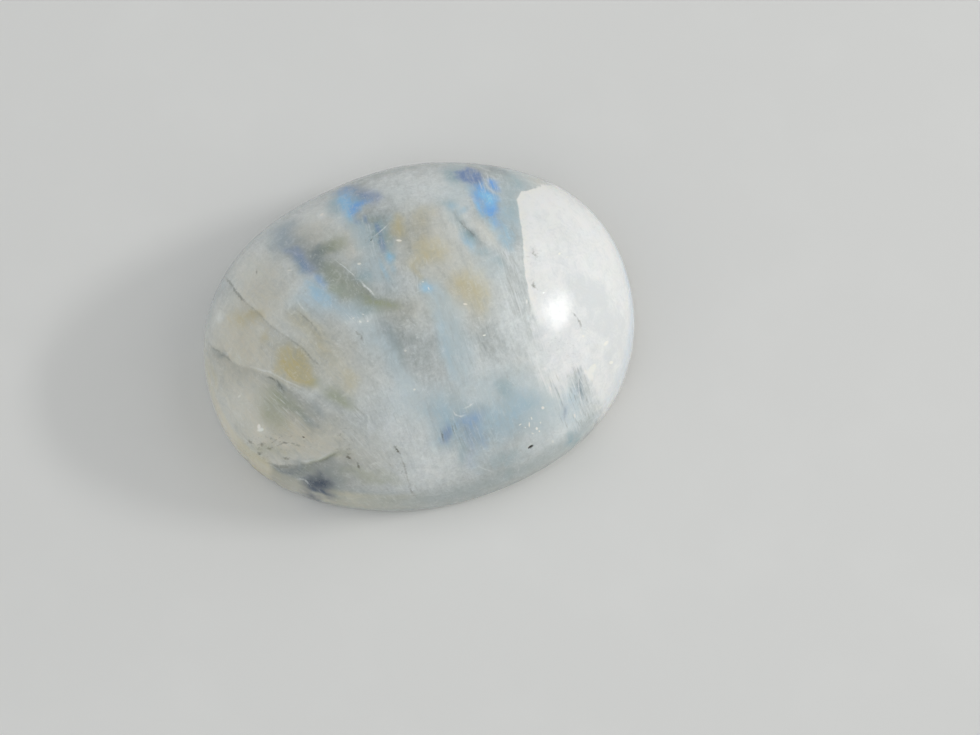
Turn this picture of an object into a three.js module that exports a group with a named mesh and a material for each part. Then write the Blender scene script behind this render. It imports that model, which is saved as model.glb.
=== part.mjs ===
// A moonstone cabochon: one hand-cut stone with a high oval dome over a short upright girdle,
// a small bevel below the girdle and a flat polished base.
// Millimetres, +Z up. The origin is the middle of the base, and the oval's length runs along X.

import * as THREE from "three";

// The oval that the stone is cut to, and its height
const LENGTH = 25;
const WIDTH = 19.6;
const HEIGHT = 10;

// The outline is an oval a little fuller than an ellipse, for which the power would be 2.
const OUTLINE_POWER = 2.12;

// A hand-held grinding wheel leaves the outline slightly uneven: each lobe is a wave round it,
// with this many crests, this height and its first crest at this angle from +X.
const LOBES = [
  { crests: 3, height: 0.048, crestAt: 50 },
  { crests: 5, height: 0.018, crestAt: 15 },
  { crests: 6, height: 0.05, crestAt: 24 },
];

// The edge, from the table up: bevel, girdle, then the dome
const BEVEL_HEIGHT = 0.45;
const BEVEL_WIDTH = 0.5;
const GIRDLE_TOP = 1.23;

// The dome is close to half an ellipsoid, a little fuller at the shoulder.
const DOME_REACH_POWER = 1.95;
const DOME_HEIGHT_POWER = 2.13;

// Facets
const FACETS_ROUND = 100;
const DOME_RINGS = 24;
const BASE_RINGS = 2;

// Half the oval's size along X and Y
const HALF_LENGTH = LENGTH / 2;
const HALF_WIDTH = WIDTH / 2;

// Distance from the stone's axis to the girdle, in the direction of an angle from +X
function girdleRadius(angle) {
  const along = Math.abs(Math.cos(angle) / HALF_LENGTH) ** OUTLINE_POWER;
  const across = Math.abs(Math.sin(angle) / HALF_WIDTH) ** OUTLINE_POWER;
  const oval = (along + across) ** (-1 / OUTLINE_POWER);
  const unevenness = LOBES.map(({ crests, height, crestAt }) => {
    const crest = THREE.MathUtils.degToRad(crestAt);
    return height * Math.cos(crests * (angle - crest));
  });
  return unevenness.reduce((sum, wave) => sum + wave, oval);
}

// Height of the dome at a share of the way from the axis to the girdle
function domeHeight(reach) {
  const fall = Math.max(0, 1 - reach ** DOME_REACH_POWER);
  return GIRDLE_TOP + (HEIGHT - GIRDLE_TOP) * fall ** (1 / DOME_HEIGHT_POWER);
}

// Half of the stone's section, from the middle of the base round the edge to the top of the dome.
// The first number is the share of the way to the girdle, and the second is the height.
function section() {
  const footReach = 1 - BEVEL_WIDTH / HALF_WIDTH;
  const base = Array.from({ length: BASE_RINGS + 1 }, (_, ring) => {
    return new THREE.Vector2((footReach * ring) / BASE_RINGS, 0);
  });
  const edge = [new THREE.Vector2(1, BEVEL_HEIGHT)];
  const dome = Array.from({ length: DOME_RINGS + 1 }, (_, ring) => {
    const reach = Math.cos((Math.PI / 2) * (ring / DOME_RINGS));
    const onAxis = ring === DOME_RINGS;
    return new THREE.Vector2(onAxis ? 0 : reach, domeHeight(onAxis ? 0 : reach));
  });
  return [...base, ...edge, ...dome];
}

// The section is turned round the axis as a round stone of radius 1, and then each of its
// points moves out to the oval.
function stoneGeometry() {
  const geometry = new THREE.LatheGeometry(section(), FACETS_ROUND);
  geometry.rotateX(Math.PI / 2);
  const points = geometry.attributes.position;
  for (let i = 0; i < points.count; i += 1) {
    const x = points.getX(i);
    const y = points.getY(i);
    const radius = girdleRadius(Math.atan2(y, x));
    points.setXY(i, x * radius, y * radius);
  }
  geometry.computeBoundingBox();
  const middle = geometry.boundingBox.getCenter(new THREE.Vector3());
  geometry.translate(-middle.x, -middle.y, 0);
  geometry.computeVertexNormals();
  return geometry;
}

const milkyStone = new THREE.MeshStandardMaterial({
  color: new THREE.Color(0.76, 0.79, 0.78),
  roughness: 0.22,
  metalness: 0,
});

const stone = new THREE.Mesh(stoneGeometry(), milkyStone);
stone.name = "moonstone";

const cabochon = new THREE.Group();
cabochon.add(stone);

export default cabochon;
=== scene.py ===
# A moonstone cabochon on a pale table, in soft studio light.
# Places and sizes on the stone are in millimetres, as x and y seen from above, with the oval's length
# along x. Blender's own lengths are metres.

from collections import namedtuple
from math import cos, hypot, pi, radians, sin

import bpy
import numpy as np
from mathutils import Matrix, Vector, noise


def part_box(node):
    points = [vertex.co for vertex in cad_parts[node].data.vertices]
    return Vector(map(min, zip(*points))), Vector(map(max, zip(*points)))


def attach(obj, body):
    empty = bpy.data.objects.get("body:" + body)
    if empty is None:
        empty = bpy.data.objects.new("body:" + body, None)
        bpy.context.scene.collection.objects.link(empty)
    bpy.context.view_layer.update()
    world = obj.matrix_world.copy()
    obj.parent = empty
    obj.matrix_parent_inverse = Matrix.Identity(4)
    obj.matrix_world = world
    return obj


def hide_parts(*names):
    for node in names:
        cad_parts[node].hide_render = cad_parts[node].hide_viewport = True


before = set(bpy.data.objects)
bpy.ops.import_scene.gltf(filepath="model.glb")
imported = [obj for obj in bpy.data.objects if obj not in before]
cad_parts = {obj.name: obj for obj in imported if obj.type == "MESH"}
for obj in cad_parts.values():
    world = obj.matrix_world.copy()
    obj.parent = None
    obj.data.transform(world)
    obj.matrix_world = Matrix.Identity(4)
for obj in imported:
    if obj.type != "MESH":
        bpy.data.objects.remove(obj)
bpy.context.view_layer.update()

MM = 0.001

# The camera looks down at the stone, turned so that the oval's right end is the far one.
CAMERA_TURN = radians(-15.3)
CAMERA_ELEVATION = radians(75)
CAMERA_DISTANCE = 150 * MM
AIM_RIGHT = 4.03 * MM
AIM_AWAY = -1.48 * MM
SENSOR_WIDTH = 36
LENS = 95.24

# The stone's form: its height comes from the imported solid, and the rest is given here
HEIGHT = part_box("moonstone")[1][2] / MM
HALF_LENGTH = 12.5
HALF_WIDTH = 9.8
OUTLINE_POWER = 2.12
LOBES = [(3, 0.048, radians(50)), (5, 0.018, radians(15)), (6, 0.05, radians(24))]
BEVEL_HEIGHT = 0.45
BEVEL_WIDTH = 0.5
GIRDLE_TOP = 1.23
DOME_REACH_POWER = 1.95
DOME_HEIGHT_POWER = 2.13
GIRDLE_ROUNDING = 0.12
FOOT_ROUNDING = 0.08

# The fine mesh: cells across the dome, and rings on each rounded corner of the edge
DOME_CELLS = 280
CORNER_RINGS = 3

# The kinds of marks. Sizes are half sizes, and turns are in degrees. Soft is how wide the edge is, as a
# share of a cloud's size or in millimetres round an area.
Cloud = namedtuple("Cloud", "x y long wide strength turn soft", defaults=(0, 0.9))
Area = namedtuple("Area", "outline soft strength")
Step = namedtuple("Step", "points fade strength")
Thread = namedtuple("Thread", "points width strength")
Fleck = namedtuple("Fleck", "x y long wide turn strength")
Pit = namedtuple("Pit", "x y long wide turn depth")


def marks(kind, *rows):
    """Marks of one kind, one from each row of values."""
    return [kind(*row) for row in rows]


# How far below the surface the clouds reach, before they are gone
CLOUD_DEPTH = 5.0

# Where the milk of the stone is thicker and brighter, or thinner and darker (strengths below 0). Two wide
# faint clouds are painted light and shade instead: one lightens the right side and one darkens the left.
TONE = marks(Cloud,
    (-8.9, 2.3, 1.2, 0.5, 0.35, -63), (-10, 2.1, 0.7, 0.5, 0.3, -30), (-7.5, 4.2, 1.3, 0.8, 0.2, -40),
    (-7, -0.2, 0.6, 1.3, 0.2, 20), (-10, -1.3, 0.7, 1.1, 0.3, 20), (-9.3, -2.8, 0.5, 0.6, 0.25),
    (-10.1, -4.2, 0.7, 0.4, 0.3), (-0.9, -0.7, 0.5, 0.9, -0.5), (-2, -2.9, 0.5, 0.7, -0.25),
    (2.4, -2.2, 0.7, 0.9, -0.25), (4.4, -4.2, 0.6, 0.5, -0.35), (-3.4, -5.6, 1.4, 0.9, -0.25),
    (2.9, -7.9, 1, 0.5, -0.3), (-4.6, -8, 0.9, 0.4, 0.2, -15), (-0.8, -7.9, 0.4, 0.8, 0.15),
    (0.4, 2.9, 0.7, 0.9, -0.3), (-8.3, 4.6, 1.5, 1.3, 0.5, -65), (-7.8, 6.3, 1.2, 0.9, 0.35, 60),
    (-7.2, 1.9, 1.4, 0.9, 0.4), (-5.9, 2.2, 0.8, 0.7, 0.3), (-10.8, 3, 0.9, 1.1, 0.35),
    (-10.8, -2.2, 1.1, 0.7, 0.4, -20), (-10.2, -3.9, 0.9, 0.5, 0.3, -30), (-9.7, 0.2, 0.6, 1.2, 0.15),
    (-4, 6.8, 1.3, 1.1, 0.5), (-3, 5.7, 0.5, 1.2, 0.3, -15), (2.1, 6.5, 1.9, 1.5, 0.5),
    (0.3, 7.6, 1.1, 0.8, 0.25), (3.6, 5, 0.8, 1, 0.2), (-2.2, -6.6, 1.5, 2.3, 0.5, 0, 0.8),
    (-4, -5.5, 1.4, 1.2, 0.2), (-1.3, -8.7, 1.7, 0.7, 0.45), (-8.2, -5.7, 1.6, 0.5, 0.35, -18),
    (2, -5, 1.4, 0.8, 0.3), (2, -1.6, 0.5, 1.2, 0.15), (4.9, -2.2, 0.5, 1.4, 0.3),
    (5, -5, 0.9, 1.4, 0.15), (5.6, -8, 2.2, 0.7, 0.4, 12), (8.5, 6.3, 1, 0.6, 0.3, -35),
    (-2.9, -0.5, 0.9, 0.5, 0.15, -20), (-0.6, -1.7, 0.5, 0.3, 0.25), (-4.1, 4.1, 0.7, 0.55, -0.6),
    (-5.2, 4.4, 0.8, 1, -0.3, 20), (-4.5, 2.9, 1, 0.6, -0.4, -60), (-3.4, 1.4, 1.3, 0.5, -0.5, -52, 0.8),
    (-2.2, 0.1, 1.1, 0.4, -0.8, -25, 0.8), (-2.2, 2, 0.9, 0.8, -0.3), (-0.75, 4.2, 0.45, 0.9, -0.6, 10),
    (0.9, 3.6, 1, 0.7, -0.5), (-1.3, 7.6, 0.6, 0.9, -0.3), (1.2, 0.9, 1.6, 0.9, -0.3, -30),
    (-5.4, -1.6, 1.2, 1.8, -0.45, 15), (-5.6, -3.8, 1, 0.6, -0.35, -35), (-8.4, -2.7, 0.4, 0.9, -0.5, 25),
    (-7.4, -4.5, 1.1, 0.4, -0.35, -40), (-9.2, -4.4, 0.8, 0.4, -0.2, -30),
    (-3.4, -2.6, 0.8, 1.4, -0.15, 15), (-1.6, -1.9, 0.7, 1.1, -0.45, 10), (-0.9, -3.2, 0.8, 1.2, -0.3),
    (0.1, -2.9, 0.45, 1.5, -0.1, 0, 0.8), (2.7, -0.5, 0.8, 0.9, -0.3), (3, -3.5, 0.6, 0.8, -0.35),
    (3.8, 2.7, 0.35, 0.8, -0.5, 20), (4.3, 0.9, 0.5, 0.7, -0.2), (5.3, 3.9, 0.5, 0.8, -0.3),
    (6, 2.2, 0.4, 0.9, -0.4, 15), (5.9, 0.2, 0.4, 1.6, -0.25, 5), (5.2, 7.2, 1, 0.7, -0.45),
    (6.5, 6.9, 0.6, 0.9, -0.5, 30), (4.5, 8.5, 2.8, 0.45, -0.55, -8), (-1, 9, 2.5, 0.4, -0.45),
    (-6.2, 5.9, 0.7, 1, -0.1), (-0.2, -7.2, 0.7, 0.5, -0.3), (1.4, -7.4, 1, 0.9, -0.3),
    (3.2, -6.6, 0.7, 1, -0.2), (-5.9, -7.2, 1, 0.6, -0.4, -20), (-8.3, -6.8, 1.7, 0.3, -0.4, -25),
    (-11.2, 0.9, 0.3, 0.7, -0.35, 30), (-10.8, -0.5, 0.7, 0.45, -0.25, -30),
    (-9.2, 3.5, 0.4, 0.9, 0.3, 15), (-2.4, -0.4, 0.7, 0.6, -0.3), (-1.6, 1, 0.7, 0.5, -0.25),
    (-2, -2, 0.5, 0.9, -0.25), (-8, -3.4, 1, 1.2, -0.3, 20), (-6.9, -4.9, 0.9, 0.6, -0.3),
    (-6.9, -1.1, 0.5, 0.9, -0.2, 25), (-8.9, -0.9, 0.6, 0.9, -0.2, 15), (-6.7, -6.9, 0.7, 0.5, 0.4),
    # The wide faint cloud at (5.3, -1) on the next line is painted light on the right side
    (-6.4, -8.1, 1, 0.5, -0.4, -30), (5.3, -1, 2.4, 7.5, 0.16), (4.25, 3.2, 0.5, 1.1, 0.35, 20),
    (4.5, 4.4, 0.4, 0.6, 0.2), (6.1, 0.2, 0.3, 0.9, 0.25), (5.2, -6.8, 1.6, 0.7, 0.2),
    (0.7, 1.4, 0.5, 0.9, 0.2), (0.3, -2, 0.7, 0.5, 0.25), (0.4, -4, 0.9, 0.6, 0.2),
    (2.3, 2.6, 0.6, 1.2, 0.2, 10), (3.2, 0, 0.6, 0.5, 0.2), (-5.3, 1.2, 0.8, 1.4, 0.15),
    (-6.2, 0.1, 0.6, 0.6, 0.2), (1.9, -5.9, 0.6, 0.5, 0.2), (4.2, -6.1, 0.7, 0.5, 0.2),
    (-0.9, -6.5, 0.5, 1, 0.2), (6.5, -7.3, 1.1, 0.8, 0.35), (8.2, -6.9, 0.5, 0.9, 0.35),
    (-1.9, -5.3, 0.7, 0.6, 0.25), (-2.6, 5.6, 0.5, 0.8, 0.25), (-6.4, -3.4, 0.8, 0.4, 0.4),
    (-0.7, -7.6, 0.4, 0.7, 0.25), (-3, 7.3, 0.4, 0.5, 0.3), (1, 0.3, 0.4, 0.7, 0.3),
    (3.6, 2.1, 0.3, 0.9, 0.25, 20), (1.2, 4.2, 0.9, 0.8, -0.25), (-0.6, 5.2, 0.9, 0.5, -0.25),
    (-7.9, -4.4, 0.6, 0.7, -0.3), (-8.1, -6, 0.9, 0.3, -0.3, -15), (-6, -6.3, 0.5, 0.5, -0.3),
    (-7.2, -8, 0.6, 0.3, -0.6, -30), (-6.6, -1.7, 0.4, 0.8, -0.25, 25), (-2.5, -0.4, 0.6, 0.3, -0.2, -10),
    # The wide faint cloud at (-8.5, -1.5) on the next line is painted shade on the left side
    (-8.6, 0.2, 0.6, 0.6, -0.2), (-8.5, -1.5, 3.2, 6, -0.14), (-2.5, -0.4, 0.8, 0.5, -0.3, -20),
    (-3.9, 0.9, 0.5, 0.4, -0.3), (-1.5, 0.4, 0.6, 0.6, -0.2), (-7, -2.1, 0.6, 0.9, -0.25, 20),
    (-7.9, -4.3, 0.8, 0.6, -0.25), (-5.9, -7.1, 0.6, 0.5, -0.3), (4.9, -6.6, 0.8, 0.9, 0.35),
    (6.7, -6.6, 0.5, 0.8, 0.3), (3, -6.1, 0.6, 0.5, 0.2), (5.9, -8.7, 2.4, 0.7, 0.35, 22),
    (1.5, -2, 0.7, 1, 0.25), (1.9, -4.2, 0.6, 0.6, 0.25), (3.4, 4.2, 0.6, 0.6, 0.45),
    (3.9, 6.2, 0.6, 0.7, 0.35), (2.6, 4.9, 0.7, 1.2, 0.2), (4.1, 3.2, 0.3, 0.5, 0.4, 10),
    (5.6, -3.9, 0.5, 0.7, 0.25), (-1.8, 4.2, 0.5, 0.8, 0.25, 10), (2.2, -7.2, 0.9, 0.6, 0.2),
    (2, -6, 0.8, 0.5, 0.25), (-4.9, -2.9, 0.9, 0.5, 0.2), (-6.3, -0.9, 0.4, 0.9, 0.25, 25),
    (-0.9, -1, 0.7, 0.5, -0.2), (-5.9, 3.7, 0.6, 0.9, 0.1), (3.2, 2.9, 0.5, 0.6, 0.3),
    (4.3, 4, 0.5, 0.6, -0.3), (-8.7, -0.2, 0.9, 0.9, -0.2), (-7.2, -1.8, 0.7, 0.6, -0.25),
    (-9.3, -5.6, 1.2, 0.5, -0.2, -20), (5.2, 0.9, 0.5, 0.7, -0.25),
)
MILK = marks(Cloud,
    (-8.6, -6.15, 1.5, 0.22, 0.15, -17), (-4.6, 7.2, 0.8, 0.6, 0.3), (-10.7, 3.1, 0.3, 0.22, 0.6, -60),
    (-3, -0.55, 0.7, 0.22, 0.4, -10), (5.2, -4.6, 0.7, 0.9, 0.35, 60), (6.1, -5.9, 0.7, 0.7, 0.6, 60),
    (-8.65, 0.95, 0.25, 0.2, 0.4, 0, 0.8), (-3.75, 6.65, 0.2, 0.15, 0.5, 40),
)
WARM = marks(Cloud,
    (-9.8, 1.5, 2, 1.8, 0.7, -55), (-10, -1.8, 2.2, 2.6, 0.65, 20),
    (-8.5, -5.2, 2.6, 1.2, 0.75, -22, 0.8), (-8, 3.6, 1.2, 2.4, 0.55, 20), (-4.4, 5.6, 1, 1.1, 0.4),
    (-3, 3.9, 0.8, 1, 0.35), (-5.2, -2.2, 1.6, 2.2, 0.4, 20), (1.3, 3.1, 1.6, 1.8, 0.5),
    (2.4, -0.3, 1.5, 1.8, 0.45), (-0.9, -0.7, 1.3, 0.8, 0.3, -20), (4.5, 2.8, 0.4, 0.8, 0.35, 15),
    (-5.3, -7.2, 1.9, 1, 0.35, -15), (8.5, 6.1, 0.9, 0.5, 0.35, -35),
)
COOL = marks(Cloud,
    (-3.5, 0.1, 1.3, 0.5, 0.45, -25), (-2.7, -1.6, 0.7, 1.3, 0.5, 20), (-2.1, -3.5, 0.5, 1.4, 0.5, 15),
    (-1.7, -5.4, 1.3, 0.8, 0.4), (1.3, -3, 0.8, 2, 0.65, 0, 0.6), (1, -0.5, 0.5, 0.9, 0.4, 15),
    (-2.3, 2.1, 0.8, 0.7, 0.5), (-2.3, 4.6, 0.4, 1.4, 0.6, 10), (-1.4, 2, 0.5, 1.3, 0.5, 5),
    (4.2, 7, 0.7, 1.2, 0.5), (3.4, 5.2, 0.7, 0.8, 0.35), (4.4, 0.7, 0.6, 0.9, 0.5),
    (6.3, 4.1, 0.6, 1.8, 0.55, 10), (7.2, 6.3, 1.1, 0.8, 0.5, -50), (2.8, -6.6, 2.8, 1.4, 0.6),
    (-0.2, -6.6, 0.9, 1.2, 0.6), (4.8, -7.3, 1.5, 0.9, 0.5), (6.9, -6.9, 0.9, 0.9, 0.2),
    (-6.3, 6.3, 0.7, 1, 0.5), (9.6, -2.2, 0.8, 1.8, 0.4, 10), (11.4, 1, 0.5, 3.6, 0.4),
)
# The stone's blue flash, painted as fixed colour: painted sheen in sky, teal, blue, glow and violet tints
SKY_SHEEN = marks(Area,
    ([(-5.5, 2.6), (-5, 2.6), (-4.6, 2), (-4, 1.1), (-4.7, 0.7), (-5.3, 0.3), (-6.3, 1.1),
      (-6.5, 1.8)], 0.7, 0.25),
    ([(-2.9, 8.2), (-2, 8.2), (-1.7, 7.2), (-1.3, 6.7), (-1.8, 6), (-2.2, 5.6), (-2.5, 6.6),
      (-3, 7.2)], 0.5, 0.65),
    ([(0.56, -1.4), (1, -1.3), (1.15, -3), (1, -4.9), (0.56, -4.8)], 0.25, 0.15),
    ([(4.5, 6.1), (5.3, 6.3), (5.7, 5.4), (5.35, 4.2), (5.5, 2.9), (5.8, 1.7), (5.3, 2.3), (4.85, 3.2),
      (4.7, 4), (4.55, 5)], 0.45, 0.65),
    ([(-0.9, -5.9), (-0.2, -5.6), (0.1, -6.6), (1.9, -6.6), (2.6, -6.9), (4, -6.3), (4.9, -6.8),
      (3.6, -7.7), (2.4, -8.4), (0.9, -8.9), (0.5, -8.2), (0.4, -7.6), (-0.9, -7.7),
      (-1, -6.7)], 0.7, 0.3),
) + marks(Cloud,
    (-4.9, 1.55, 1.1, 0.3, 0.5, -50), (-2.1, 5, 0.25, 0.8, 0.2, 8), (4.95, 3.8, 0.3, 0.5, 0.5, 10),
    (5.7, 2.4, 0.25, 0.9, 0.35, 10), (-0.87, 2.5, 0.17, 0.32, 0.6, 10), (-0.75, 1.65, 0.12, 0.25, 0.4),
    (-1.3, 1.8, 0.1, 0.6, 0.45, 5), (0.65, 0.2, 0.3, 0.45, 0.3, 20), (1.15, -0.2, 0.3, 0.6, 0.12, 15),
    (6, 3.6, 0.35, 1.3, 0.25, 8), (3.5, 2.2, 0.2, 0.6, 0.5, 12), (3.6, 4.35, 0.3, 0.16, 0.4, 30),
    (3.2, 4.7, 0.2, 0.3, 0.4), (7, -6.9, 0.9, 0.6, 0.2, 70), (-3.4, 0, 1, 0.3, 0.15, -20),
)
TEAL_SHEEN = marks(Area,
    ([(-1.9, 5.2), (-1.2, 5.3), (-0.4, 4.9), (-0.5, 3.6), (-0.8, 2.9), (-1.4, 3.1),
      (-1.9, 3.9)], 0.6, 0.55),
    ([(6.5, 5.8), (7.2, 6.6), (7.6, 5.6), (6.9, 4.8), (6.75, 3.6), (6.4, 2.9), (6.1, 3.3),
      (6.2, 4.2)], 0.5, 0.35),
) + marks(Cloud,
    (-2.6, 1.75, 0.4, 0.3, 0.5), (3.6, 2.65, 0.25, 0.6, 0.55, 20), (4.1, 1.5, 0.3, 0.3, 0.4),
    (4.7, 0.7, 0.25, 0.2, 0.4), (3.3, -6, 0.3, 0.35, 0.5), (4.6, -6.8, 0.5, 0.4, 0.15),
    (0.25, -8.3, 0.25, 0.5, 0.4), (2.6, -9.1, 1.2, 0.25, 0.4, 10), (6.7, -8.35, 0.4, 0.2, 0.6, 30),
    (3.9, 6.9, 0.5, 0.8, 0.3), (-3, 7, 0.4, 0.7, 0.5), (-1.9, 6.9, 0.5, 0.4, 0.5),
    (-5.7, 3.6, 0.3, 0.6, 0.45, 10), (-0.55, 3.3, 0.25, 0.7, 0.3), (3.3, 3.9, 0.3, 0.8, 0.3, 20),
    (-0.85, 2.5, 0.2, 0.4, 0.6, 10), (3.1, 5, 0.4, 0.3, 0.3), (4, 7.2, 0.4, 0.7, 0.35),
)
BLUE_SHEEN = marks(Area,
    ([(4.85, 6), (5.3, 6.1), (5.65, 5.5), (5.7, 4.8), (5.6, 4.1), (5.35, 3.5), (5, 3.7), (4.85, 4.4),
      (4.65, 5), (4.75, 5.5)], 0.3, 0.7),
) + marks(Cloud,
    (4.62, 4.6, 0.12, 0.6, 0.5, 12), (5.4, 4, 0.3, 0.5, 0.5, 10), (5.95, 5.85, 0.2, 0.45, 0.75, 12),
    (5.3, 3.2, 0.2, 0.5, 0.25, 14), (-1.95, 6.2, 0.2, 0.5, 0.55, 8), (-1.65, 6.5, 0.45, 0.22, 0.5, 18),
    (-2.3, 7.2, 0.35, 0.8, 0.35), (-4.85, 2.35, 0.16, 0.4, 0.4, 25), (1, -7, 0.6, 0.25, 0.12),
)
# Where the painted blue sheen is brightest
BLUE_SHEEN_GLOW = marks(Cloud,
    (5.3, 4.9, 0.3, 0.6, 0.85, 8), (4.6, 4.5, 0.12, 0.3, 0.6, 15), (-2.4, 7, 0.25, 0.6, 0.45, 5),
    (0.62, 0.25, 0.2, 0.3, 0.35, 20), (-0.87, 2.4, 0.12, 0.24, 0.2, 10), (-5.1, 1.5, 0.6, 0.3, 0.15, -50),
    (-2.2, 5.9, 0.15, 0.4, 0.4, 10),
)
VIOLET_SHEEN = marks(Area,
    ([(4.1, 7.1), (4.8, 7.5), (5.5, 7.1), (5.5, 6.5), (5.3, 6.1), (4.7, 6), (4.25, 6.4)], 0.3, 0.9),
    ([(-1.9, 7.9), (-1.2, 7.5), (-0.4, 7.1), (-0.5, 6.65), (-1.1, 6.35), (-1.6, 6.6)], 0.45, 0.6),
    ([(-6.2, 5), (-5.6, 4.9), (-5.2, 4), (-4.95, 3.1), (-5.3, 2.9), (-5.75, 3.4), (-6, 4.2)], 0.4, 0.55),
    ([(0.3, -6.9), (1.8, -6.75), (1.7, -7.3), (1.1, -7.8), (0.75, -8.8), (0.6, -8.6),
      (0.6, -7.3)], 0.5, 0.28),
) + marks(Cloud,
    (-2.2, 8.1, 0.6, 0.4, 0.5), (-6.1, 6, 0.6, 0.9, 0.12), (-1.05, 4.4, 0.16, 0.35, 0.5),
    (-1.05, 3.4, 0.2, 0.45, 0.5), (-1.5, 5.1, 0.12, 0.35, 0.5), (-0.35, -7.3, 0.22, 0.28, 0.55),
    (1.55, -8.1, 0.4, 0.4, 0.2), (6.4, -7.3, 0.2, 0.4, 0.15, 10), (-2, 5.2, 0.15, 0.3, 0.3),
)
OCHRE = marks(Area,
    ([(-7.9, -0.5), (-7.4, -0.5), (-6.9, -1), (-6.3, -2.1), (-6.3, -2.8), (-7, -2.9), (-7.8, -2.2),
      (-8.4, -1.6), (-8.2, -0.9)], 0.3, 0.6),
    ([(-6.8, 1), (-6.2, 0.9), (-5.7, -0.2), (-5.2, -1.6), (-5.9, -1.7), (-6.5, -0.8),
      (-6.9, 0.2)], 0.6, 0.35),
) + marks(Cloud,
    (-7.4, -1.2, 0.6, 0.95, 0.3, 25), (-8, -1.7, 0.5, 0.5, 0.25, -30), (-7, -2.8, 0.7, 0.3, 0.3, -40),
    (-0.5, 3.7, 0.2, 0.3, 0.3), (-1.2, 5, 0.3, 0.2, 0.25), (-9.4, 2, 0.9, 0.4, 0.35, -25),
    (-8.75, 1.9, 0.2, 0.3, 0.35, 30), (-8.5, 0.6, 0.3, 0.4, 0.3, 20), (0.05, 4.2, 0.28, 0.6, 0.55),
    (1.6, 4.5, 0.8, 0.5, 0.2, 30), (0.85, 2.8, 0.5, 0.4, 0.3, 20), (1.3, 2.05, 1, 0.5, 0.42, 12),
    (2.75, -0.3, 0.9, 0.75, 0.45, 70), (3.2, -1.4, 0.45, 0.6, 0.25), (0.35, 1.3, 0.15, 0.6, 0.4, 10),
    (-12, 0.2, 0.25, 0.9, 0.3), (-10.9, -4.9, 1.5, 0.2, 0.35, -52), (-5.3, -2.6, 0.6, 0.8, 0.15, 20),
    (-4.6, -3.5, 0.3, 0.5, 0.3, 20),
)
OLIVE = marks(Area,
    ([(-4.4, 3.3), (-3.8, 3), (-3.1, 1.7), (-2.3, 0.65), (-1.3, -0.25), (-1.7, -0.5), (-2.7, 0.1),
      (-3.6, 0.7), (-4.3, 1.5), (-4.7, 2.4)], 0.5, 0.42),
    ([(-6.1, -3.5), (-5.4, -3.5), (-4.6, -4.5), (-4.7, -4.8), (-5.6, -4.6), (-6.1, -4.1)], 0.5, 0.45),
) + marks(Cloud,
    (-2.1, 0.05, 0.9, 0.22, 0.5, -30), (-2.4, -0.3, 0.8, 0.3, 0.15, -15),
    (-4.1, 1.5, 0.9, 0.15, 0.45, -55), (-3.6, 4.2, 0.5, 0.5, 0.5), (-8.9, -2.9, 0.6, 0.8, 0.45, 25),
    (-8.2, -3.5, 0.25, 1, 0.4, 32), (-9.2, -3.9, 0.4, 0.7, 0.35, 30), (-5.5, -4.1, 0.6, 0.35, 0.25, -35),
    (-6.6, -2.9, 0.5, 0.3, 0.5, -20), (-7.2, -6.55, 1.2, 0.12, 0.5, -2), (-4.8, -8, 1.4, 0.25, 0.35, -20),
    (-10, -5, 1.2, 0.2, 0.3, -35),
)
SLATE = marks(Area,
    ([(-6.9, 6.9), (-5.3, 7), (-4.7, 5.4), (-4.7, 4), (-4.9, 3.2), (-5.4, 4.4), (-6.2, 5),
      (-6.8, 5.6)], 0.7, 0.25),
    ([(-9.9, -6), (-8.9, -6.4), (-7.9, -6.65), (-6.6, -6.75), (-5.9, -7.3), (-6.7, -8), (-8.2, -7.6),
      (-9.2, -6.8)], 0.4, 0.3),
    ([(5.2, 8.2), (6.3, 7.9), (7.1, 7.2), (6.9, 6.3), (6.5, 6.9), (5.8, 7.4)], 0.3, 0.5),
) + marks(Cloud,
    (-4.1, 4.2, 0.42, 0.3, 0.7, 20, 0.8), (-4.5, 3.4, 0.35, 0.7, 0.45, 10),
    (3.75, 2.75, 0.1, 0.35, 0.5, 22, 0.8), (3.4, 3.7, 0.08, 0.6, 0.3, 24),
    (-1.6, 4.1, 0.1, 0.3, 0.25, -60), (-1.3, 4.3, 0.12, 0.3, 0.4, -30), (-1.1, 3.5, 0.1, 0.35, 0.3, 10),
    (-4.3, 4.6, 0.2, 0.12, 0.4, 20), (-3.7, 3.8, 0.1, 0.25, 0.4, 20), (-8.4, -2.35, 0.13, 0.3, 0.5, 30),
    (-7.5, -4.4, 0.7, 0.14, 0.4, -42, 0.8), (-6.8, -4.4, 0.12, 0.45, 0.3, 25),
    (-9.2, -6.2, 0.8, 0.12, 0.6, -28, 0.8), (7.68, -6.4, 0.12, 0.42, 0.8, 8, 0.7),
    (7.75, -5.8, 0.16, 0.25, 0.5, 20, 0.8), (6.35, -7.25, 0.09, 0.25, 0.5, 10, 0.8),
    (6.15, -3.45, 0.12, 0.22, 0.35, 10, 0.8), (-11.3, 1.25, 0.12, 0.35, 0.3, 35),
    (-11.02, 0.7, 0.16, 0.3, 0.4, 30), (-2, -1.6, 0.25, 0.7, 0.3),
)
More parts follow.
